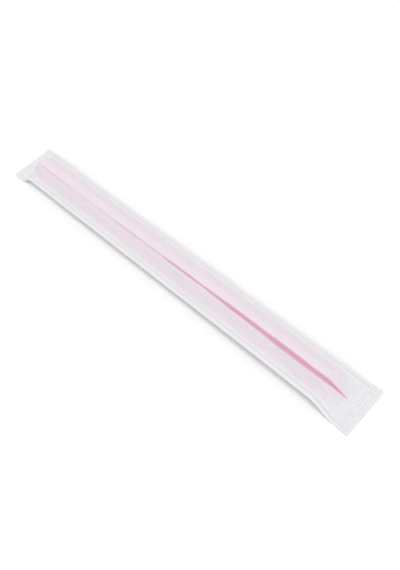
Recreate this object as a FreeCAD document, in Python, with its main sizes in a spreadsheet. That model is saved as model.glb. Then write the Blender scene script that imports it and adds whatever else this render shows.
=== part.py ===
import FreeCAD, Part
import Sketcher
import math
import os

# Wrapped drinking straw: a slant-cut plastic straw inside a flat paper sleeve.
# X runs along the straw towards its pointed end, Y across the sleeve, Z up.
# The origin is under the middle of the whole thing, on the surface it lies on.

SIZES = [
    ("straw_length", 210, "straw from its square end to its point"),
    ("straw_diameter", 10, "outside of the straw"),
    ("straw_wall", 0.25, "thickness of the straw's wall"),
    ("tip_slant", 14, "how far the slant cut runs along the straw"),
    ("cut_margin", 1, "how far the slant cut reaches past the straw"),
    ("ply", 0.1, "thickness of one layer of paper"),
    ("straw_clearance", 0.1, "room between the straw and the paper around it"),
    ("pocket_ease", 4.7, "flat pocket width beyond half way round the straw"),
    ("side_seam", 2.4, "sealed strip along each long edge"),
    ("seam_drop", 0.3, "how far the side seams hang below the straw's axis"),
    ("bed_width", 6.4, "strip of the lower layer that lies flat"),
    ("end_seal", 6, "crimped strip at each end"),
    ("end_slack", 7, "pocket left behind the straw's square end"),
    ("tip_slack", 3, "pocket left in front of the straw's point"),
    ("pocket_mouth", 0.15, "height of the pocket where it meets an end seal"),
    ("rib_count", 4, "crimp ribs across each end seal"),
    ("rib_height", 0.25, "how far each crimp rib stands up"),
]

# Formulas that several sketches share, written in the sheet's own names
RADIUS = "Sizes.straw_diameter / 2"
AXIS_HEIGHT = f"(Sizes.ply + Sizes.straw_clearance + {RADIUS})"
WRAP_RADIUS = f"({RADIUS} + Sizes.straw_clearance)"
SEAM_HEIGHT = f"({AXIS_HEIGHT} - Sizes.seam_drop)"
FLAT_HALF = f"((pi * {WRAP_RADIUS} + Sizes.pocket_ease) / 2)"
POCKET_HALF = f"(({FLAT_HALF} + sqrt({FLAT_HALF} ^ 2 - 2 * {WRAP_RADIUS} ^ 2)) / 2)"
INSIDE_HALF = "((Sizes.straw_length + Sizes.end_slack + Sizes.tip_slack) / 2)"

# Where the sleeve changes section, along X
FAR_SEAL = f"-{INSIDE_HALF}"
STRAW_BACK = f"-{INSIDE_HALF} + Sizes.end_slack"
STRAW_POINT = f"{INSIDE_HALF} - Sizes.tip_slack"
NEAR_TAPER = f"{INSIDE_HALF} - Sizes.tip_slack - Sizes.tip_slant / 2"
NEAR_SEAL = INSIDE_HALF
STATIONS = [
    ("FarEnd", FAR_SEAL, False),
    ("Back", STRAW_BACK, True),
    ("Front", NEAR_TAPER, True),
    ("NearEnd", NEAR_SEAL, False),
]

# The pocket's gently arched top where it meets an end seal
MOUTH_HALF = f"({POCKET_HALF} / 2)"
MOUTH_SAG = "(Sizes.pocket_mouth / 2)"
MOUTH_RADIUS = f"(({MOUTH_HALF} ^ 2 + {MOUTH_SAG} ^ 2) / (2 * {MOUTH_SAG}))"

VERTICAL_AXIS = -2
ORIGIN = -1


def make_sheet(doc):
    """Put the driving dimensions in a sheet, one named cell each."""
    sheet = doc.addObject("Spreadsheet::Sheet", "Sizes")
    for row, (name, value, note) in enumerate(SIZES, start=1):
        sheet.set(f"A{row}", name)
        sheet.set(f"B{row}", str(value))
        sheet.setAlias(f"B{row}", name)
        sheet.set(f"C{row}", note)
    doc.recompute()
    return sheet


def make_body(doc, label):
    body = doc.addObject("PartDesign::Body", label)
    body.Label = label
    return body


def origin_plane(body, role):
    for feature in body.Origin.OriginFeatures:
        if feature.Role == role:
            return feature
    raise ValueError(f"no plane {role}")


def make_sketch(body, name, role, offset="0"):
    """A sketch on one of the body's origin planes, moved along its normal."""
    sketch = body.newObject("Sketcher::SketchObject", name)
    sketch.AttachmentSupport = [(origin_plane(body, role), "")]
    sketch.MapMode = "FlatFace"
    sketch.setExpression("AttachmentOffset.Base.z", offset)
    return sketch


def value_of(sketch, formula):
    """A formula's number for the sheet's present sizes."""
    return sketch.evalExpression(formula)


def bind(sketch, kind, references, formula):
    """Add one dimension to a sketch and tie it to a formula."""
    start = float(value_of(sketch, formula))
    index = sketch.addConstraint(Sketcher.Constraint(kind, *references, start))
    sketch.setExpression(f"Constraints[{index}]", formula)


def pin_vertex(sketch, edge, end, across, up):
    """Place one end of an edge by its two distances from the origin."""
    bind(sketch, "DistanceX", (ORIGIN, 1, edge, end), across)
    bind(sketch, "DistanceY", (ORIGIN, 1, edge, end), up)


def join_edges(sketch, edges, smooth=()):
    """Make a closed ring of edges, each end on the next one's start."""
    for this, following in zip(edges, edges[1:] + edges[:1]):
        kind = "Tangent" if this in smooth else "Coincident"
        sketch.addConstraint(Sketcher.Constraint(kind, this, 2, following, 1))


def draw_polygon(sketch, corners):
    """A closed outline of straight edges, with each corner tied to formulas."""
    points = []
    for across, up in corners:
        points.append(FreeCAD.Vector(value_of(sketch, across), value_of(sketch, up), 0))
    edges = []
    for start, end in zip(points, points[1:] + points[:1]):
        edges.append(sketch.addGeometry(Part.LineSegment(start, end), False))
    join_edges(sketch, edges)
    for edge, (across, up) in zip(edges, corners):
        pin_vertex(sketch, edge, 1, across, up)


def wrap_angle(corner, centre, radius):
    """How far from the top a slope from the corner first touches the arc."""
    across, up = corner
    fall = centre - up
    distance = math.hypot(across, fall)
    return math.pi / 2 + math.atan2(fall, across) - math.acos(radius / distance)


def draw_roof_outline(sketch, side, arc_radius, arc_height, arc_half=None):
    """A closed outline: the given right side, its mirror, and an arc on top.

    side lists the right-hand corners from the bottom up, as pairs of formulas.
    The arc spans arc_half to each side, or else is tangent to the last slope.
    """
    corners = [(value_of(sketch, across), value_of(sketch, up)) for across, up in side]
    radius = value_of(sketch, arc_radius)
    centre = value_of(sketch, arc_height)
    if arc_half:
        turn = math.asin(value_of(sketch, arc_half) / radius)
    else:
        turn = wrap_angle(corners[-1], centre, radius)
    shoulder = (radius * math.sin(turn), centre + radius * math.cos(turn))
    right = [FreeCAD.Vector(y, z, 0) for y, z in corners + [shoulder]]
    left = [FreeCAD.Vector(-point.x, point.y, 0) for point in right]

    # The ring runs along the bottom, up the right side, over, and down the left
    ring = [sketch.addGeometry(Part.LineSegment(left[0], right[0]), False)]
    for start, end in zip(right, right[1:]):
        ring.append(sketch.addGeometry(Part.LineSegment(start, end), False))
    slope = ring[-1]
    circle = Part.Circle(FreeCAD.Vector(0, centre, 0), FreeCAD.Vector(0, 0, 1), radius)
    span = (math.pi / 2 - turn, math.pi / 2 + turn)
    arc = sketch.addGeometry(Part.ArcOfCircle(circle, *span), False)
    ring.append(arc)
    for start, end in zip(left[::-1], left[-2::-1]):
        ring.append(sketch.addGeometry(Part.LineSegment(start, end), False))
    join_edges(sketch, ring, [] if arc_half else [slope])

    sketch.addConstraint(Sketcher.Constraint("PointOnObject", arc, 3, VERTICAL_AXIS))
    bind(sketch, "DistanceY", (ORIGIN, 1, arc, 3), arc_height)
    bind(sketch, "Radius", (arc,), arc_radius)
    sketch.addConstraint(Sketcher.Constraint("Horizontal", arc, 1, arc, 2))
    for edge, opposite, (across, up) in zip(ring, ring[::-1], side):
        pin_vertex(sketch, edge, 2, across, up)
        mirrored = (edge, 2, opposite, 2, VERTICAL_AXIS)
        sketch.addConstraint(Sketcher.Constraint("Symmetric", *mirrored))
    if arc_half:
        bind(sketch, "DistanceX", (ORIGIN, 1, slope, 2), arc_half)


def draw_paper_section(body, name, offset, over_straw):
    """The sleeve's outside across X: two layers, sealed into a strip each side."""
    sketch = make_sketch(body, name, "YZ_Plane", offset)
    half = POCKET_HALF if over_straw else FLAT_HALF
    base = f"({SEAM_HEIGHT} - Sizes.ply)" if over_straw else "0"
    side = [
        ("Sizes.bed_width / 2", "0"),
        (half, base),
        (f"{half} + Sizes.side_seam", base),
        (f"{half} + Sizes.side_seam", f"{base} + 2 * Sizes.ply"),
        (half, f"{base} + 2 * Sizes.ply"),
    ]
    if over_straw:
        draw_roof_outline(sketch, side, f"{WRAP_RADIUS} + Sizes.ply", AXIS_HEIGHT)
    else:
        top = "2 * Sizes.ply + Sizes.pocket_mouth"
        draw_roof_outline(sketch, side, MOUTH_RADIUS, f"{top} - {MOUTH_RADIUS}", MOUTH_HALF)
    return sketch


def draw_pocket_section(body, name, offset, over_straw):
    """The hollow between the two layers, one layer inside the outline."""
    sketch = make_sketch(body, name, "YZ_Plane", offset)
    bed = ("Sizes.bed_width / 2", "Sizes.ply")
    if over_straw:
        side = [bed, (POCKET_HALF, SEAM_HEIGHT)]
        draw_roof_outline(sketch, side, WRAP_RADIUS, AXIS_HEIGHT)
    else:
        side = [bed, (FLAT_HALF, "Sizes.ply")]
        top = "Sizes.ply + Sizes.pocket_mouth"
        draw_roof_outline(sketch, side, MOUTH_RADIUS, f"{top} - {MOUTH_RADIUS}", MOUTH_HALF)
    return sketch


def add_loft(body, kind, name, sections):
    """A straight-ruled loft through sketches given in their order along X."""
    loft = body.newObject(f"PartDesign::{kind}Loft", name)
    loft.Profile = sections[0]
    loft.Sections = sections[1:]
    loft.Ruled = True


def make_straw(doc):
    """A thin tube, square at the back and cut slantwise to a point in front."""
    body = make_body(doc, "straw")
    ring = make_sketch(body, "StrawRing", "YZ_Plane", STRAW_BACK)
    centre = FreeCAD.Vector(0, value_of(ring, AXIS_HEIGHT), 0)
    outside = RADIUS
    inside = f"{RADIUS} - Sizes.straw_wall"
    for radius in (outside, inside):
        size = value_of(ring, radius)
        circle = ring.addGeometry(Part.Circle(centre, FreeCAD.Vector(0, 0, 1), size), False)
        ring.addConstraint(Sketcher.Constraint("PointOnObject", circle, 3, VERTICAL_AXIS))
        bind(ring, "DistanceY", (ORIGIN, 1, circle, 3), AXIS_HEIGHT)
        bind(ring, "Radius", (circle,), radius)
    tube = body.newObject("PartDesign::Pad", "StrawTube")
    tube.Profile = ring
    tube.setExpression("Length", "Sizes.straw_length + Sizes.tip_slant")

    # The cutting line runs from the top, one slant back, to the point at the bottom
    cut = make_sketch(body, "SlantCut", "XZ_Plane")
    reach = "Sizes.cut_margin * Sizes.tip_slant / Sizes.straw_diameter"
    top = f"{AXIS_HEIGHT} + {RADIUS} + Sizes.cut_margin"
    bottom = f"{AXIS_HEIGHT} - {RADIUS} - Sizes.cut_margin"
    beyond = f"{STRAW_POINT} + Sizes.tip_slant + {reach}"
    corners = [
        (f"{STRAW_POINT} - Sizes.tip_slant - {reach}", top),
        (f"{STRAW_POINT} + {reach}", bottom),
        (beyond, bottom),
        (beyond, top),
    ]
    draw_polygon(cut, corners)
    pocket = body.newObject("PartDesign::Pocket", "StrawPoint")
    pocket.Profile = cut
    pocket.Type = "ThroughAll"
    pocket.SideType = "Symmetric"
    return body


def draw_crimp(body, name, start):
    """An end seal seen from the side: two layers pressed into cross ribs."""
    sketch = make_sketch(body, name, "XZ_Plane")
    steps = 2 * int(sheet.rib_count)
    lower = []
    upper = []
    for step in range(steps + 1):
        across = f"{start} + {step} * Sizes.end_seal / (2 * Sizes.rib_count)"
        height = "Sizes.rib_height" if step % 2 else "0"
        lower.append((across, height))
        upper.append((across, f"{height} + 2 * Sizes.ply"))
    draw_polygon(sketch, lower + upper[::-1])
    return sketch


def make_sleeve(doc):
    """One closed paper skin: a roof over the straw that flattens at both ends."""
    body = make_body(doc, "paper_sleeve")
    paper = []
    pocket = []
    for name, offset, over_straw in STATIONS:
        paper.append(draw_paper_section(body, f"Paper{name}", offset, over_straw))
        pocket.append(draw_pocket_section(body, f"Pocket{name}", offset, over_straw))
    add_loft(body, "Additive", "PaperOutside", paper)
    for name, start in (("Far", f"{FAR_SEAL} - Sizes.end_seal"), ("Near", NEAR_SEAL)):
        seal = body.newObject("PartDesign::Pad", f"{name}Seal")
        seal.Profile = draw_crimp(body, f"{name}Crimp", start)
        seal.SideType = "Symmetric"
        seal.setExpression("Length", f"2 * ({FLAT_HALF} + Sizes.side_seam)")
    add_loft(body, "Subtractive", "PocketInside", pocket)
    return body


doc = FreeCAD.newDocument("wrapped_straw")
sheet = make_sheet(doc)
pieces = [make_straw(doc), make_sleeve(doc)]
doc.recompute()

for item in doc.Objects:
    if "Invalid" in item.State or "Error" in item.State:
        raise ValueError(f"{item.Label} failed: {item.State}")
for piece in pieces:
    if piece.Shape.isNull() or not piece.Shape.isValid():
        raise ValueError(f"{piece.Label} has no valid shape")
    if len(piece.Shape.Solids) != 1:
        raise ValueError(f"{piece.Label} isn't one solid")

os.makedirs("parts", exist_ok=True)
for piece in pieces:
    piece.Shape.exportStep(f"parts/{piece.Label}.step")
    box = piece.Shape.BoundBox
    print(piece.Label, "volume", round(piece.Shape.Volume, 2), "mm3, box", box)
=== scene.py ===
import math
import random

import bpy
import numpy as np
from bpy.props import FloatProperty, FloatVectorProperty, IntProperty, PointerProperty
from bpy.types import Operator, Panel, PropertyGroup
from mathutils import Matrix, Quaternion, Vector


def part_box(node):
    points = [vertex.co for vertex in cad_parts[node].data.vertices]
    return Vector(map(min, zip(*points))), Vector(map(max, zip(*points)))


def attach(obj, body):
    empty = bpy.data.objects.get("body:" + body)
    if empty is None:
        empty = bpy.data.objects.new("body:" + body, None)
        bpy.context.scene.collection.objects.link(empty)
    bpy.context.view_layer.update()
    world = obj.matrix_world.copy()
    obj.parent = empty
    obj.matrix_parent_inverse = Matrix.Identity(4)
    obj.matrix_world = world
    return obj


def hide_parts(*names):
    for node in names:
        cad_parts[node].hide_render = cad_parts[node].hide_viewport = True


bl_info = {
    "name": "Wrapped drinking straw",
    "version": (1, 0, 0),
    "blender": (4, 5, 0),
    "location": "View3D > Sidebar > Wrapped Straw",
    "description": "A slant-cut drinking straw sealed in a thin paper sleeve",
    "category": "Add Mesh",
}

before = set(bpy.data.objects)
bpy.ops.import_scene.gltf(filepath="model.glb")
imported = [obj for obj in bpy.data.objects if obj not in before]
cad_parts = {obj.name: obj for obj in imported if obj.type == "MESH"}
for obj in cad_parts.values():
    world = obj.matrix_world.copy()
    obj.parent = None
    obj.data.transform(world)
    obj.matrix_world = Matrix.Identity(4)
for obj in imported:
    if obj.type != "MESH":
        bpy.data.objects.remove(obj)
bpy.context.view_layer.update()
STRAW_LOW, STRAW_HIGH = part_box("straw")
SLEEVE_LOW, SLEEVE_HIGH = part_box("paper_sleeve")
MM = 0.001


class StrawSizes(PropertyGroup):
    """Sizes of the plastic straw that its box doesn't give."""

    wall: FloatProperty(
        name="Wall", description="Thickness of the straw's wall",
        default=0.25 * MM, min=0.05 * MM, unit="LENGTH",
    )
    slant: FloatProperty(
        name="Slant", description="How far the slant cut runs along the straw",
        default=14 * MM, min=1 * MM, unit="LENGTH",
    )
    sides: IntProperty(
        name="Sides", description="Faces round the straw", default=96, min=12,
    )


class SleeveSizes(PropertyGroup):
    """Sizes of the paper sleeve that its box doesn't give."""

    thickness: FloatProperty(
        name="Sealed thickness", description="Two layers of paper pressed together",
        default=0.14 * MM, min=0.02 * MM, unit="LENGTH",
    )
    side_seam: FloatProperty(
        name="Side seam", description="Width of the sealed strip along each edge",
        default=2.4 * MM, min=0.5 * MM, unit="LENGTH",
    )
    seam_height: FloatProperty(
        name="Seam height", description="Height of the side seams beside the straw",
        default=4.9 * MM, min=0, unit="LENGTH",
    )
    bed: FloatProperty(
        name="Bed", description="Half the strip of the lower layer that lies flat",
        default=3.2 * MM, min=0.5 * MM, unit="LENGTH",
    )
    end_seal: FloatProperty(
        name="End seal", description="Length of the crimped strip at each end",
        default=6 * MM, min=1 * MM, unit="LENGTH",
    )
    ribs: IntProperty(
        name="Ribs", description="Crimp ribs across each end seal", default=4, min=1,
    )
    rib_height: FloatProperty(
        name="Rib height", description="How far each crimp rib stands up",
        default=0.25 * MM, min=0, unit="LENGTH",
    )
    creases: IntProperty(
        name="Creases", description="Small soft creases in the upper layer",
        default=46, min=0,
    )


class Finish(PropertyGroup):
    """Colours and finishes."""

    paper: FloatVectorProperty(
        name="Paper", description="Bare paper over the hollow parts",
        subtype="COLOR", default=(0.90, 0.895, 0.92), min=0, max=1,
    )
    sealed: FloatVectorProperty(
        name="Sealed paper", description="Two layers pressed together",
        subtype="COLOR", default=(0.895, 0.895, 0.92), min=0, max=1,
    )
    # A painted highlight: the colour laid on the seams' outer halves, the ridge at the pocket's edge
    # and the cut ends, where light catches the edges
    edge: FloatVectorProperty(
        name="Cut edge", description="The bright rim of the paper",
        subtype="COLOR", default=(0.905, 0.885, 0.915), min=0, max=1,
    )
    glow: FloatVectorProperty(
        name="Glow", description="Paper near the straw, which shows through it",
        subtype="COLOR", default=(0.92, 0.81, 0.875), min=0, max=1,
    )
    # Partly the straw seen through paper pressed on it, partly painted shade that makes this deep pink
    # line darker
    touch: FloatVectorProperty(
        name="Touch", description="Paper pressed against the straw",
        subtype="COLOR", default=(0.76, 0.36, 0.53), min=0, max=1,
    )
    plastic: FloatVectorProperty(
        name="Plastic", description="The straw's own colour",
        subtype="COLOR", default=(0.80, 0.28, 0.43), min=0, max=1,
    )
    see_through: FloatProperty(
        name="See-through", description="Share of light that passes the paper",
        subtype="FACTOR", default=0.12, min=0, max=1,
    )
    plastic_see_through: FloatProperty(
        name="Plastic see-through", description="Share of light that passes the straw's wall",
        subtype="FACTOR", default=0.3, min=0, max=1,
    )


class Stage(PropertyGroup):
    """Camera, floor and light."""

    azimuth: FloatProperty(
        name="Azimuth", description="Side the camera looks from, round the upright axis",
        subtype="ANGLE", default=math.radians(54.6),
    )
    elevation: FloatProperty(
        name="Elevation", description="How steeply the camera looks down",
        subtype="ANGLE", default=math.radians(57.8),
    )
    roll: FloatProperty(
        name="Roll", description="Turn of the camera about its line of sight",
        subtype="ANGLE", default=math.radians(-13.0),
    )
    distance: FloatProperty(
        name="Distance", description="From the camera to the point it aims at",
        default=0.298, min=0.05, unit="LENGTH",
    )
    aim: FloatVectorProperty(
        name="Aim", description="The point in the middle of the picture",
        subtype="TRANSLATION", default=(0.020, 0, 0.004), unit="LENGTH",
    )
    lens: FloatProperty(
        name="Lens", description="Focal length in millimetres",
        default=39.0, min=10,
    )
    sun: FloatProperty(
        name="Sun", description="Strength of the broad light from above",
        default=1.2, min=0,
    )
    softness: FloatProperty(
        name="Softness", description="How wide the light from above looks",
        subtype="ANGLE", default=math.radians(34),
    )
    sky: FloatProperty(
        name="Sky", description="Strength of the even light all round",
        default=0.69, min=0,
    )


class WrappedStraw(PropertyGroup):
    """Everything that can be set about the wrapped straw."""

    straw: PointerProperty(type=StrawSizes)
    sleeve: PointerProperty(type=SleeveSizes)
    finish: PointerProperty(type=Finish)
    stage: PointerProperty(type=Stage)


def smooth_step(value, start, end):
    """0 before start, 1 after end, and a soft rise between them."""
    share = np.clip((value - start) / (end - start), 0, 1)
    return share * share * (3 - 2 * share)


def bell(distance, width):
    """1 at no distance, falling away softly over about the given width."""
    return np.exp(-((distance / width) ** 2))


def soft_max(first, second, blend):
    """The larger of two heights, with the corner between them rounded."""
    gap = first - second
    return (first + second + np.sqrt(gap**2 + blend**2)) / 2


def ripple(along, across, waves):
    """Smooth random ups and downs of about -1 to 1, from a list of waves."""
    total = np.zeros_like(along)
    for turn_x, turn_y, phase in waves:
        total += np.cos(turn_x * along + turn_y * across + phase)
    return total / math.sqrt(len(waves) / 2) / 2


def random_waves(source, count, shortest, longest, stretch):
    """Waves in all directions, drawn out along the sleeve by the stretch."""
    waves = []
    for _ in range(count):
        turns = 2 * math.pi / source.uniform(shortest, longest)
        angle = source.uniform(0, math.pi)
        turn_x = turns * math.cos(angle) / stretch
        waves.append((turn_x, turns * math.sin(angle), source.uniform(0, 2 * math.pi)))
    return waves


def make_object(name, points, faces, attributes=None):
    """A smooth-shaded mesh object with one number a point for each attribute."""
    mesh = bpy.data.meshes.new(name)
    mesh.from_pydata([tuple(point) for point in points], [], faces)
    mesh.validate()
    for title, values in (attributes or {}).items():
        layer = mesh.attributes.new(title, "FLOAT", "POINT")
        layer.data.foreach_set("value", np.asarray(values, np.float32))
    mesh.polygons.foreach_set("use_smooth", [True] * len(mesh.polygons))
    mesh.update()
    piece = bpy.data.objects.new(name, mesh)
    bpy.context.scene.collection.objects.link(piece)
    return piece


# The straw

STRAW_RADIUS = (STRAW_HIGH.y - STRAW_LOW.y) / 2
STRAW_AXIS = (STRAW_HIGH.z + STRAW_LOW.z) / 2


def straw_end(sizes, height):
    """Where the slant cut ends the straw, at a height above its underside."""
    return STRAW_HIGH.x - sizes.slant * height / (2 * STRAW_RADIUS)


def straw_mesh(sizes):
    """Rings of points down the outside of the tube and back up the inside."""
    lip = sizes.wall / 2
    outside = [(0.0, lip), (lip / 2, lip / 4), (2 * lip, 0.0)]
    steps = 40
    angles = [2 * math.pi * side / sizes.sides for side in range(sizes.sides)]
    points = []
    # Each ring is a share of the way along, a step in from that end, and a depth in the wall
    rings = [(0.0, along, depth) for along, depth in outside]
    rings += [(step / steps, 0.0, 0.0) for step in range(1, steps)]
    rings += [(1.0, -along, depth) for along, depth in outside[::-1]]
    rings += [(1.0, -along, sizes.wall - depth) for along, depth in outside]
    rings += [(step / steps, 0.0, sizes.wall) for step in range(steps - 1, 0, -1)]
    rings += [(0.0, along, sizes.wall - depth) for along, depth in outside[::-1]]
    for share, inset, depth in rings:
        radius = STRAW_RADIUS - depth
        for angle in angles:
            up = radius * math.cos(angle)
            end = straw_end(sizes, up + STRAW_RADIUS)
            along = STRAW_LOW.x + (end - STRAW_LOW.x) * share + inset
            points.append((along, radius * math.sin(angle), STRAW_AXIS + up))
    faces = []
    count = sizes.sides
    for ring in range(len(rings)):
        here = ring * count
        there = (ring + 1) % len(rings) * count
        for side in range(count):
            turn = (side + 1) % count
            faces.append((here + side, here + turn, there + turn, there + side))
    return points, faces


# The sleeve

SEED = 12
# How close the paper lies to the straw: over it, beside it, past its slant cut, and at the crest
CLEARANCE = 0.06 * MM
SIDE_CLEARANCE = 0.25 * MM
CUT_CLEARANCE = 0.2 * MM
CREST_ROOM = 0.04 * MM
# How steeply the paper falls away beside the straw, and behind its square end
FALL_BESIDE = 0.8
FALL_BEHIND = 1.45
# How far the upper layer sags between the straw and the side seams
WEB_SAG = 0.45 * MM
# Heights of the fine crumple, of its sharper wrinkles and of the slow billows
CRUMPLE_HEIGHT = 0.07 * MM
WRINKLE_HEIGHT = 0.10 * MM
BILLOW_HEIGHT = 0.16 * MM
# How far the side seams hang at their outer edges, and the sleeve strays sideways
SEAM_DROOP = 0.35 * MM
STRAY = 0.10 * MM
# Heights of the long and short waves along the side seams
SEAM_SWELL = 0.30 * MM
SEAM_RIPPLE = 0.10 * MM
# The ridge at the pocket's edge, and the groove where the seal starts: height and place
RIDGE_HEIGHT = 0.06 * MM
RIDGE_SHARE = 0.93
RIDGE_WIDTH = 0.05
GROOVE_DEPTH = 0.04 * MM
GROOVE_SHARE = 0.14
# How high the end tabs curl up, how much they twist, and the length that curls
TAB_LIFT = 0.5 * MM
TAB_TWIST = 0.03
TAB_CURL = 9 * MM
# Distance between rows of points where the form changes, and where it runs on evenly
FINE_STEP = 0.3 * MM
EVEN_STEP = 0.85 * MM
ROWS_PER_RIB = 8
# Places across the pocket, as shares of it, where the crest ends and the corner starts
CREST_SHARE = 0.22
CORNER_SHARE = 0.88
# Points across each of those parts
CREST_COLUMNS = 11
WEB_COLUMNS = 19
CORNER_COLUMNS = 6
# Places across a side seam, as shares of it, closer together where it is grooved
SEAM_SHARES = (0, 0.06, 0.12, 0.18, 0.24, 0.32, 0.42, 0.54, 0.7, 0.85, 0.94, 1.0)
# Tension folds at each end: their number, half spread at the straw and the seal, depth, width
END_FOLDS = 9
FOLD_ROOT = 4.4 * MM
FOLD_SPREAD = 9.6 * MM
FOLD_DEPTH = 0.20 * MM
FOLD_WIDTH = 0.75 * MM
# Short creases at each end
CORNER_FOLDS = 9
# The deep pink line, the straw seen through pressed paper and darkened with painted shade: its place
# off the crest, and its half width at the far and near end
LINE_OFFSET = -2.0 * MM
LINE_NARROW = 0.42 * MM
LINE_WIDE = 1.02 * MM
# Where it grows wider, and the length over which it runs to a point
LINE_WIDENS = (10 * MM, 75 * MM)
LINE_POINT = 10 * MM
# Its strength at the far end, where that grows, and where it stops being patchy
LINE_FAINT = 0.30
LINE_DEEPENS = (-55 * MM, 38 * MM)
LINE_EVENS = (0, 50 * MM)
# How far the glow's end falls back beside the axis, as a share of the distance off it
GLOW_SLANT = 0.95
# Distances from the axis at which the straw's glow starts to fade, and has faded
GLOW_FULL = 7.2 * MM
GLOW_GONE = 9.2 * MM


class SleeveShape:
    """The paper's form, from the sizes of the sleeve and of the straw in it."""

    def __init__(self, sizes, slant):
        self.sizes = sizes
        self.half_length = SLEEVE_HIGH.x
        self.half_width = SLEEVE_HIGH.y
        self.seal = self.half_length - sizes.end_seal
        self.back = STRAW_LOW.x
        self.point = STRAW_HIGH.x
        self.cut_top = STRAW_HIGH.x - slant
        self.layer = sizes.thickness / 2
        self.flat_half = self.half_width - sizes.side_seam
        self.wrap = STRAW_RADIUS + CLEARANCE
        self.crest = STRAW_AXIS + self.wrap + CREST_ROOM
        spare = self.flat_half**2 - 2 * self.wrap**2
        self.pocket_half = (self.flat_half + math.sqrt(spare)) / 2
        self.random = random.Random(SEED)
        self.folds = self.end_folds() + self.soft_creases() + self.corner_folds()
        self.crumple = random_waves(
            self.random, count=26, shortest=2.6 * MM, longest=7 * MM, stretch=1.8,
        )
        self.billow = random_waves(
            self.random, count=14, shortest=9 * MM, longest=22 * MM, stretch=2.2,
        )

    def rows(self):
        """Places along the sleeve: close together where it is crimped or tapers."""
        length = self.half_length
        in_seal = ROWS_PER_RIB * self.sizes.ribs
        even_start = self.back + 4 * MM
        even_end = self.cut_top - 6 * MM
        parts = [
            np.arange(-length, -self.seal, self.sizes.end_seal / in_seal),
            np.arange(-self.seal, even_start, FINE_STEP),
            np.arange(even_start, even_end, EVEN_STEP),
            np.arange(even_end, self.seal, FINE_STEP),
            np.linspace(self.seal, length, in_seal + 1),
        ]
        return np.concatenate(parts)

    def columns(self):
        """Places across: 0 at the crest, 1 at the pocket's edge, 2 at the paper's."""
        crest = np.linspace(0, CREST_SHARE, CREST_COLUMNS, endpoint=False)
        web = np.linspace(CREST_SHARE, CORNER_SHARE, WEB_COLUMNS, endpoint=False)
        corner = np.linspace(CORNER_SHARE, 1, CORNER_COLUMNS, endpoint=False)
        seam = 1 + np.array(SEAM_SHARES)
        half = np.concatenate([crest, web, corner, seam])
        return np.concatenate([-half[:0:-1], half])

    def fullness(self, along):
        """1 where the sleeve is full round the straw, and 0 at the end seals."""
        back = smooth_step(along, -self.seal, self.back + 1.5 * MM)
        front = 1 - smooth_step(along, self.cut_top + 1 * MM, self.seal)
        return np.minimum(back, front)

    def crest_height(self, along):
        """Height of the upper layer over the straw's axis."""
        flat = self.sizes.thickness
        back = smooth_step(along, -self.seal, self.back + 0.6 * MM)
        front = 1 - smooth_step(along, self.cut_top - 1 * MM, self.seal)
        return flat + (self.crest - flat) * np.minimum(back, front)

    def roof(self, share):
        """The upper layer's profile: 1 over the axis, 0 at the pocket's edge."""
        fall = STRAW_AXIS - self.sizes.seam_height
        distance = math.hypot(self.pocket_half, fall)
        turn = math.pi / 2 + math.atan2(fall, self.pocket_half)
        turn -= math.acos(self.wrap / distance)
        across = np.abs(share) * self.pocket_half
        touch = self.wrap * math.sin(turn)
        arc = STRAW_AXIS + np.sqrt(np.maximum(self.wrap**2 - across**2, 0))
        web_share = np.clip((across - touch) / (self.pocket_half - touch), 0, 1)
        touch_height = STRAW_AXIS + self.wrap * math.cos(turn)
        web = touch_height + (self.sizes.seam_height - touch_height) * web_share
        # The cubic's highest value is 4/27, at two thirds of the way out
        web = web - WEB_SAG * 27 / 4 * web_share**2 * (1 - web_share)
        height = np.where(across < touch, arc, web)
        low = self.sizes.seam_height
        return (height - low) / (STRAW_AXIS + self.wrap - low)

    def straw_top(self, along, across):
        """Lowest height at which paper can hang over the straw and off its rims."""
        tall = STRAW_RADIUS + CLEARANCE
        wide = STRAW_RADIUS + SIDE_CLEARANCE
        reach = tall * np.sqrt(np.maximum(1 - (across / wide) ** 2, 0))
        slope = 2 * STRAW_RADIUS / (self.point - self.cut_top)
        cut = STRAW_LOW.z + slope * (self.point + CUT_CLEARANCE - along)
        below = np.minimum(cut - STRAW_AXIS, 0)
        half_width = wide * np.sqrt(np.maximum(1 - (below / tall) ** 2, 0))
        beside = np.maximum(np.abs(across) - half_width, 0)
        behind = np.maximum(self.back - along, 0)
        top = np.minimum(STRAW_AXIS + reach, cut) - FALL_BESIDE * beside - FALL_BEHIND * behind
        return np.where(cut > STRAW_LOW.z, top, 0)

    def seam_wave(self, along, side):
        """Slow rise and fall of a side seam."""
        phase = 1.3 if side > 0 else 4.1
        slow = SEAM_SWELL * np.sin(along / (17 * MM) + phase)
        quick = SEAM_RIPPLE * np.sin(along / (6.1 * MM) + 2.3 * phase)
        return slow + quick

    def end_folds(self):
        """Tension folds that fan from the straw's ends to the end seals.

        Each fold or crease is its start, its end, its height and its width.
        """
        folds = []
        for end, root in ((-1, self.back), (1, self.cut_top)):
            for spread in np.linspace(-1, 1, END_FOLDS):
                start = (root + end * 1 * MM, spread * FOLD_ROOT)
                finish = (end * (self.seal + 0.8 * MM), spread * FOLD_SPREAD)
                deep = FOLD_DEPTH * self.random.uniform(0.5, 1.2)
                folds.append((start, finish, deep, FOLD_WIDTH))
        valley = ((self.point, 0), (self.seal + 2 * MM, 0), -0.16 * MM, 0.5 * MM)
        return folds + [valley]

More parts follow.
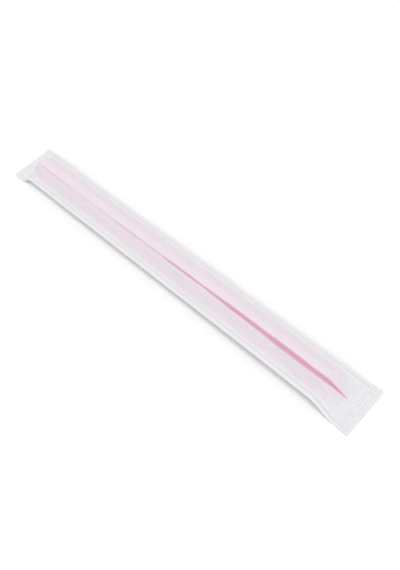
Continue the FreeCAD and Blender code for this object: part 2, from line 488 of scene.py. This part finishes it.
    def corner_folds(self):
        """Short creases where the sleeve widens and flattens towards its ends."""
        creases = []
        for end, root in ((-1, self.back), (1, self.point)):
            for _ in range(CORNER_FOLDS):
                along = root + end * self.random.uniform(-5, 3) * MM
                across = self.random.choice((-1, 1)) * self.random.uniform(3, 8.5) * MM
                turn = self.random.uniform(0.5, 1.4) * self.random.choice((-1, 1))
                length = self.random.uniform(2, 5) * MM
                finish = (along + length * math.cos(turn), across + length * math.sin(turn))
                deep = self.random.uniform(-0.16, 0.12) * MM
                creases.append(((along, across), finish, deep, 0.45 * MM))
        return creases

    def soft_creases(self):
        """Small random creases over the upper layer, mostly along the sleeve."""
        creases = []
        for _ in range(self.sizes.creases):
            along = self.random.uniform(self.back, self.cut_top)
            side = self.random.choice((-1, 1))
            across = side * self.random.uniform(3.4, 8.2) * MM
            length = self.random.uniform(4, 16) * MM
            lean = self.random.uniform(-0.28, 0.28)
            deep = self.random.uniform(-0.11, 0.09) * MM
            end = (along + length, across + lean * length)
            creases.append(((along, across), end, deep, self.random.uniform(0.5, 1.1) * MM))
        return creases

    def fold_height(self, along, across):
        """What the folds and creases add to the upper layer's height."""
        total = np.zeros_like(along)
        for (x1, y1), (x2, y2), deep, width in self.folds:
            run_x, run_y = x2 - x1, y2 - y1
            length = run_x**2 + run_y**2
            share = ((along - x1) * run_x + (across - y1) * run_y) / length
            held = np.clip(share, 0, 1)
            off = np.hypot(along - x1 - held * run_x, across - y1 - held * run_y)
            total += deep * bell(off, width) * np.sin(math.pi * np.clip(share, 0.02, 0.98))
        return total

    def crimp(self, along):
        """The ribs pressed across each end seal."""
        inside = np.clip((np.abs(along) - self.seal) / self.sizes.end_seal, 0, 1)
        wave = 0.5 - 0.5 * np.cos(2 * math.pi * self.sizes.ribs * inside)
        fade = smooth_step(inside, 0, 0.04)
        return self.sizes.rib_height * wave * fade

    def tab_lift(self, along, across):
        """The end tabs curl a little off the surface."""
        start = self.half_length - TAB_CURL
        out = np.clip((np.abs(along) - start) / TAB_CURL, 0, 1) ** 2
        return out * (TAB_LIFT + TAB_TWIST * across * np.sign(along))

    def surfaces(self):
        """Points of both layers, and what shows at each point of the upper one."""
        along, column = np.meshgrid(self.rows(), self.columns(), indexing="ij")
        side = np.sign(column)
        share = np.clip(np.abs(column), 0, 1)
        in_seam = np.clip(np.abs(column) - 1, 0, 1)
        full = self.fullness(along)
        pocket = self.flat_half + (self.pocket_half - self.flat_half) * full
        across = side * (share * pocket + in_seam * self.sizes.side_seam)
        across = across + STRAY * np.sin(along / (23 * MM) + 0.7) * full

        seam = self.layer + (self.sizes.seam_height - self.layer) * full
        wave = np.where(side < 0, self.seam_wave(along, -1), self.seam_wave(along, 1))
        seam = seam + wave * full
        droop = SEAM_DROOP * in_seam**2 * full
        crest = self.crest_height(along)
        upper = seam + (crest - seam) * self.roof(share)
        # The paper is free to wrinkle between the straw and the seams
        loose = smooth_step(share * pocket, 1.6 * MM, 4.2 * MM) * (1 - 0.8 * share**6)
        wrinkle = 0.5 - np.abs(ripple(across, along, self.crumple))
        rough = CRUMPLE_HEIGHT * ripple(along, across, self.crumple) + WRINKLE_HEIGHT * wrinkle
        slow = BILLOW_HEIGHT * ripple(along, across, self.billow)
        upper = upper + (rough + slow) * loose * (0.35 + 0.65 * full)
        upper = upper + self.fold_height(along, across) * (1 - share**12)
        upper = soft_max(upper, self.straw_top(along, across), 0.06 * MM)

        bed = np.clip((share * pocket - self.sizes.bed) / (pocket - self.sizes.bed), 0, 1)
        lower = seam * bed**1.15 + (0.6 * rough + slow) * loose * bed
        middle = seam - droop + 0.3 * rough * full
        ridge = RIDGE_HEIGHT * bell(share - RIDGE_SHARE, RIDGE_WIDTH)
        groove = GROOVE_DEPTH * bell(in_seam - GROOVE_SHARE, 0.12)
        sealed = in_seam > 0
        rounding = self.layer * share**8
        upper = np.where(sealed, middle + self.layer - groove, upper + rounding + ridge)
        lower = np.where(sealed, middle - self.layer + groove, lower - rounding)
        lower = np.maximum(lower, 0)
        upper = np.maximum(upper, lower + 0.5 * self.sizes.thickness)

        both = self.crimp(along) + self.tab_lift(along, across)
        upper_points = np.stack([along, across, upper + both], -1)
        lower_points = np.stack([along, across, lower + both], -1)
        return upper_points, lower_points, self.looks(along, across, share, in_seam)

    def looks(self, along, across, share, in_seam):
        """How much straw shows through, where the paper is sealed or cut, the deep pink line with its
        painted shade, and the painted highlight on the rims.
        """
        off = np.abs(across)
        inside = smooth_step(along, self.back - 1.2 * MM, self.back + 0.8 * MM)
        end = self.point - GLOW_SLANT * off
        inside = inside * (1 - smooth_step(along, end - 1.0 * MM, end + 0.7 * MM))
        glow = inside * (1 - smooth_step(off, GLOW_FULL, GLOW_GONE))
        glow = glow * (0.8 + 0.2 * bell(off, 3 * MM))

        # The deep pink line: the straw seen where the paper presses on it, made darker with painted
        # shade
        middle = LINE_OFFSET * (1 - smooth_step(along, self.cut_top - 2 * MM, self.point))
        middle = middle + 0.22 * MM * np.sin(along / (31 * MM) + 0.6)
        from_line = np.abs(across - middle)
        near_tip = np.clip((self.point - along) / LINE_POINT, 0, 1)
        width = LINE_NARROW + (LINE_WIDE - LINE_NARROW) * smooth_step(along, *LINE_WIDENS)
        width = width + 0.07 * MM * np.sin(along / (5.3 * MM)) + 0.05 * MM * np.sin(along / (2.1 * MM))
        width = np.maximum(width * near_tip**0.8, 0.05 * MM)
        touch = 1 - smooth_step(from_line, 0.45 * width, 1.5 * width)
        strength = LINE_FAINT + (1 - LINE_FAINT) * smooth_step(along, *LINE_DEEPENS)
        patchy = 0.22 * np.sin(along / (7.7 * MM)) * (1 - smooth_step(along, *LINE_EVENS))
        strength = strength * (1 + patchy)
        back = smooth_step(along, self.back, self.back + 2 * MM)
        touch = touch * np.clip(strength, 0, 1) * back * smooth_step(near_tip, 0, 0.06)

        seal = smooth_step(np.abs(along), self.seal - 0.4 * MM, self.seal + 0.2 * MM)
        sealed = np.maximum(seal, smooth_step(in_seam, 0.0, 0.12))
        line = bell(in_seam - 0.16, 0.16) * (in_seam > 0) * (1 - 0.6 * seal)
        # Painted highlight: the seams' outer halves, the ridge at the pocket's edge and the cut ends
        # get the rim colour
        ridge = 0.5 * bell(share - RIDGE_SHARE, RIDGE_WIDTH) * (in_seam == 0)
        painted_rim_highlight = smooth_step(in_seam, 0.42, 0.58) + ridge
        cut = smooth_step(np.abs(along), self.half_length - 0.9 * MM, self.half_length - 0.5 * MM)
        painted_rim_highlight = np.clip(np.maximum(painted_rim_highlight, cut), 0, 1)
        return {"glow": glow, "touch": touch, "sealed": sealed, "line": line, "painted_rim_highlight": painted_rim_highlight}

    def mesh(self):
        """One closed skin: each row is a ring over the top and back underneath."""
        upper, lower, looks = self.surfaces()
        rows, wide = upper.shape[:2]
        ring = 2 * wide
        points = np.concatenate([upper, lower[:, ::-1]], axis=1).reshape(-1, 3)
        attributes = {}
        for title, values in looks.items():
            both = np.concatenate([values, values[:, ::-1]], axis=1)
            attributes[title] = both.reshape(-1)
        faces = []
        for row in range(rows - 1):
            here, there = row * ring, (row + 1) * ring
            for place in range(ring):
                turn = (place + 1) % ring
                faces.append((here + place, there + place, there + turn, here + turn))
        last = (rows - 1) * ring
        for place in range(wide - 1):
            under = ring - 1 - place
            faces.append((place, place + 1, under - 1, under))
            faces.append((last + place + 1, last + place, last + under, last + under - 1))
        return points, faces, attributes


# Materials


def new_material(name):
    """An empty node material, its tree and its output node."""
    material = bpy.data.materials.new(name)
    material.use_nodes = True
    tree = material.node_tree
    tree.nodes.clear()
    return material, tree, tree.nodes.new("ShaderNodeOutputMaterial")


def mix_colours(tree, first, second, share):
    """A mix of two colours by a socket. The first may be a colour or a socket."""
    node = tree.nodes.new("ShaderNodeMix")
    node.data_type = "RGBA"
    if isinstance(first, bpy.types.NodeSocket):
        tree.links.new(first, node.inputs["A"])
    else:
        node.inputs["A"].default_value = (*first, 1)
    node.inputs["B"].default_value = (*second, 1)
    tree.links.new(share, node.inputs["Factor"])
    return node.outputs["Result"]


def scaled(tree, socket, factor, add=0.0):
    """A number socket times a factor, plus a constant."""
    node = tree.nodes.new("ShaderNodeMath")
    node.operation = "MULTIPLY_ADD"
    tree.links.new(socket, node.inputs[0])
    node.inputs[1].default_value = factor
    node.inputs[2].default_value = add
    return node.outputs[0]


def times(tree, first, second):
    """Two number sockets multiplied."""
    node = tree.nodes.new("ShaderNodeMath")
    node.operation = "MULTIPLY"
    tree.links.new(first, node.inputs[0])
    tree.links.new(second, node.inputs[1])
    return node.outputs[0]


def grain(tree, size, stretch=1.0, detail=3.0):
    """Noise with grains of a real size, longer along the straw when stretched."""
    coordinates = tree.nodes.new("ShaderNodeTexCoord")
    mapping = tree.nodes.new("ShaderNodeMapping")
    mapping.inputs["Scale"].default_value = (1 / (size * stretch), 1 / size, 1 / size)
    tree.links.new(coordinates.outputs["Object"], mapping.inputs["Vector"])
    noise = tree.nodes.new("ShaderNodeTexNoise")
    noise.inputs["Scale"].default_value = 1.0
    noise.inputs["Detail"].default_value = detail
    tree.links.new(mapping.outputs["Vector"], noise.inputs["Vector"])
    return noise.outputs["Fac"]


def attribute(tree, name):
    """The numbers that the mesh holds under this name."""
    node = tree.nodes.new("ShaderNodeAttribute")
    node.attribute_name = name
    return node.outputs["Fac"]


def bumped(tree, height, strength, distance):
    """A surface direction roughened by a height socket."""
    node = tree.nodes.new("ShaderNodeBump")
    node.inputs["Strength"].default_value = strength
    node.inputs["Distance"].default_value = distance
    tree.links.new(height, node.inputs["Height"])
    return node.outputs["Normal"]


def let_light_through(tree, face, colour, share, output):
    """The face's shader, with a share of the light passing through the surface."""
    through = tree.nodes.new("ShaderNodeBsdfTranslucent")
    tree.links.new(colour, through.inputs["Color"])
    blend = tree.nodes.new("ShaderNodeMixShader")
    blend.inputs["Fac"].default_value = share
    tree.links.new(face.outputs[0], blend.inputs[1])
    tree.links.new(through.outputs[0], blend.inputs[2])
    tree.links.new(blend.outputs[0], output.inputs["Surface"])


# Brightness of the paper's dense clouds and of the line along each seam, against bare paper
DENSE_SHADE = 0.90
SEAM_SHADE = 0.86


def see_through_paper(finish):
    """Thin glazed paper that shows the straw where it comes near, with painted shade in its deep pink
    line and a painted highlight on its rims.
    """
    material, tree, output = new_material("Thin white paper")
    blotch = grain(tree, size=2.4 * MM, stretch=2.5)
    fibre = grain(tree, size=0.35 * MM, stretch=3.0, detail=4.0)
    cloud = grain(tree, size=1.1 * MM, stretch=1.3, detail=4.0)
    colour = mix_colours(tree, finish.paper, finish.sealed, attribute(tree, "sealed"))
    dense = tuple(channel * DENSE_SHADE for channel in finish.paper)
    colour = mix_colours(tree, colour, dense, scaled(tree, cloud, 2.4, -0.9))
    mottled = times(tree, scaled(tree, blotch, 2.6, -0.35), scaled(tree, cloud, 2.4, -0.2))
    glow = times(tree, attribute(tree, "glow"), mottled)
    colour = mix_colours(tree, colour, finish.glow, glow)
    # The deep pink line: the straw through the pressed paper, darkened with painted shade
    touch = times(tree, attribute(tree, "touch"), scaled(tree, fibre, 0.5, 0.7))
    colour = mix_colours(tree, colour, finish.touch, touch)
    grey = tuple(channel * SEAM_SHADE for channel in finish.paper)
    colour = mix_colours(tree, colour, grey, attribute(tree, "line"))
    # Painted highlight on the seam rims, the ridge at the pocket's edge and the cut ends
    colour = mix_colours(tree, colour, finish.edge, attribute(tree, "painted_rim_highlight"))

    crinkle = grain(tree, size=1.6 * MM, stretch=1.5, detail=2.0)
    normal = bumped(tree, crinkle, strength=0.8, distance=0.4 * MM)
    face = tree.nodes.new("ShaderNodeBsdfPrincipled")
    face.inputs["Specular IOR Level"].default_value = 0.35
    face.inputs["Sheen Weight"].default_value = 0.1
    tree.links.new(scaled(tree, blotch, 0.2, 0.52), face.inputs["Roughness"])
    tree.links.new(colour, face.inputs["Base Color"])
    tree.links.new(normal, face.inputs["Normal"])
    let_light_through(tree, face, colour, finish.see_through, output)
    return material


def clear_pink_plastic(finish):
    """Drawn polypropylene: glossy, a little cloudy, with faint lines along it."""
    material, tree, output = new_material("Pink plastic")
    streak = grain(tree, size=0.5 * MM, stretch=40.0)
    pale = tuple(0.25 + 0.75 * channel for channel in finish.plastic)
    colour = mix_colours(tree, finish.plastic, pale, scaled(tree, streak, 0.35))
    face = tree.nodes.new("ShaderNodeBsdfPrincipled")
    face.inputs["Specular IOR Level"].default_value = 0.5
    tree.links.new(colour, face.inputs["Base Color"])
    tree.links.new(scaled(tree, streak, 0.12, 0.2), face.inputs["Roughness"])
    normal = bumped(tree, streak, strength=0.15, distance=0.05 * MM)
    tree.links.new(normal, face.inputs["Normal"])
    let_light_through(tree, face, colour, finish.plastic_see_through, output)
    return material


FLOOR_GREY = 0.90
# Light seen by the camera and through clear things, which brings the lit floor up to white
FLOOR_LIFT = 0.07
FLOOR_REACH = 3.0
FLOOR_LEVEL = -0.02 * MM
SUN_PLACE = (0.10, 0.03, 1.2)


def pale_floor():
    """A white surface that keeps its shadows and shows as pure white."""
    material, tree, output = new_material("Pale floor")
    matt = tree.nodes.new("ShaderNodeBsdfDiffuse")
    matt.inputs["Color"].default_value = (FLOOR_GREY, FLOOR_GREY, FLOOR_GREY, 1)
    lift = tree.nodes.new("ShaderNodeEmission")
    path = tree.nodes.new("ShaderNodeLightPath")
    seen = tree.nodes.new("ShaderNodeMath")
    seen.operation = "MAXIMUM"
    tree.links.new(path.outputs["Is Camera Ray"], seen.inputs[0])
    tree.links.new(path.outputs["Is Transmission Ray"], seen.inputs[1])
    tree.links.new(scaled(tree, seen.outputs[0], FLOOR_LIFT), lift.inputs["Strength"])
    both = tree.nodes.new("ShaderNodeAddShader")
    tree.links.new(matt.outputs[0], both.inputs[0])
    tree.links.new(lift.outputs[0], both.inputs[1])
    tree.links.new(both.outputs[0], output.inputs["Surface"])
    return material


def white_world(world, sky):
    """Even light of the given strength that the camera sees as pure white."""
    world.use_nodes = True
    tree = world.node_tree
    path = tree.nodes.new("ShaderNodeLightPath")
    background = tree.nodes["Background"]
    background.inputs["Color"].default_value = (1, 1, 1, 1)
    strength = scaled(tree, path.outputs["Is Camera Ray"], 1 - sky, sky)
    tree.links.new(strength, background.inputs["Strength"])


# Operators


class WRAPPED_STRAW_OT_straw(Operator):
    """Make the slant-cut plastic straw."""

    bl_idname = "wrapped_straw.straw"
    bl_label = "Make Straw"

    def execute(self, context):
        settings = context.scene.wrapped_straw
        points, faces = straw_mesh(settings.straw)
        straw = make_object("drinking_straw", points, faces)
        straw.data.materials.append(clear_pink_plastic(settings.finish))
        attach(straw, "root")
        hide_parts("straw")
        return {"FINISHED"}


class WRAPPED_STRAW_OT_sleeve(Operator):
    """Make the paper sleeve with its side seams and crimped ends."""

    bl_idname = "wrapped_straw.sleeve"
    bl_label = "Make Sleeve"

    def execute(self, context):
        settings = context.scene.wrapped_straw
        shape = SleeveShape(settings.sleeve, settings.straw.slant)
        points, faces, attributes = shape.mesh()
        sleeve = make_object("sleeve_of_paper", points, faces, attributes)
        sleeve.data.materials.append(see_through_paper(settings.finish))
        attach(sleeve, "root")
        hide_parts("paper_sleeve")
        return {"FINISHED"}


class WRAPPED_STRAW_OT_stage(Operator):
    """Lay the floor, light it softly and set the camera."""

    bl_idname = "wrapped_straw.stage"
    bl_label = "Set Stage"

    def execute(self, context):
        scene = context.scene
        stage = scene.wrapped_straw.stage
        sides = ((-1, -1), (1, -1), (1, 1), (-1, 1))
        corners = [(x * FLOOR_REACH, y * FLOOR_REACH, FLOOR_LEVEL) for x, y in sides]
        floor = make_object("floor", corners, [(0, 1, 2, 3)])
        floor.data.materials.append(pale_floor())

        world = bpy.data.worlds.new("Even light")
        scene.world = world
        white_world(world, stage.sky)

        sun_data = bpy.data.lights.new("Broad light", "SUN")
        sun_data.angle = stage.softness
        sun_data.energy = stage.sun
        sun = bpy.data.objects.new("Broad light", sun_data)
        sun.location = SUN_PLACE
        sun.rotation_mode = "QUATERNION"
        sun.rotation_quaternion = (-sun.location).to_track_quat("-Z", "Y")
        scene.collection.objects.link(sun)

        camera_data = bpy.data.cameras.new("Camera")
        camera_data.lens = stage.lens
        camera_data.clip_start = 0.01
        camera = bpy.data.objects.new("Camera", camera_data)
        back = Vector((
            math.sin(stage.azimuth) * math.cos(stage.elevation),
            -math.cos(stage.azimuth) * math.cos(stage.elevation),
            math.sin(stage.elevation),
        ))
        camera.location = Vector(stage.aim) + back * stage.distance
        camera.rotation_mode = "QUATERNION"
        upright = (-back).to_track_quat("-Z", "Y")
        camera.rotation_quaternion = upright @ Quaternion((0, 0, 1), stage.roll)
        scene.collection.objects.link(camera)
        scene.camera = camera
        scene.view_settings.view_transform = "Standard"
        return {"FINISHED"}


class WRAPPED_STRAW_PT_sidebar(Panel):
    """The wrapped straw's sizes, finishes and pieces."""

    bl_label = "Wrapped Straw"
    bl_idname = "WRAPPED_STRAW_PT_sidebar"
    bl_space_type = "VIEW_3D"
    bl_region_type = "UI"
    bl_category = "Wrapped Straw"

    def draw(self, context):
        settings = context.scene.wrapped_straw
        for group in (settings.straw, settings.sleeve, settings.finish, settings.stage):
            box = self.layout.box()
            for name in group.bl_rna.properties.keys():
                if name not in ("rna_type", "name"):
                    box.prop(group, name)
        for operator in OPERATORS:
            self.layout.operator(operator.bl_idname)


SETTINGS = (StrawSizes, SleeveSizes, Finish, Stage, WrappedStraw)
OPERATORS = (WRAPPED_STRAW_OT_straw, WRAPPED_STRAW_OT_sleeve, WRAPPED_STRAW_OT_stage)
CLASSES = (*SETTINGS, *OPERATORS, WRAPPED_STRAW_PT_sidebar)


def register():
    for each in CLASSES:
        bpy.utils.register_class(each)
    bpy.types.Scene.wrapped_straw = PointerProperty(type=WrappedStraw)


def unregister():
    del bpy.types.Scene.wrapped_straw
    for each in reversed(CLASSES):
        bpy.utils.unregister_class(each)


def main():
    register()
    bpy.ops.wrapped_straw.straw()
    bpy.ops.wrapped_straw.sleeve()
    bpy.ops.wrapped_straw.stage()


if __name__ == "__main__":
    main()
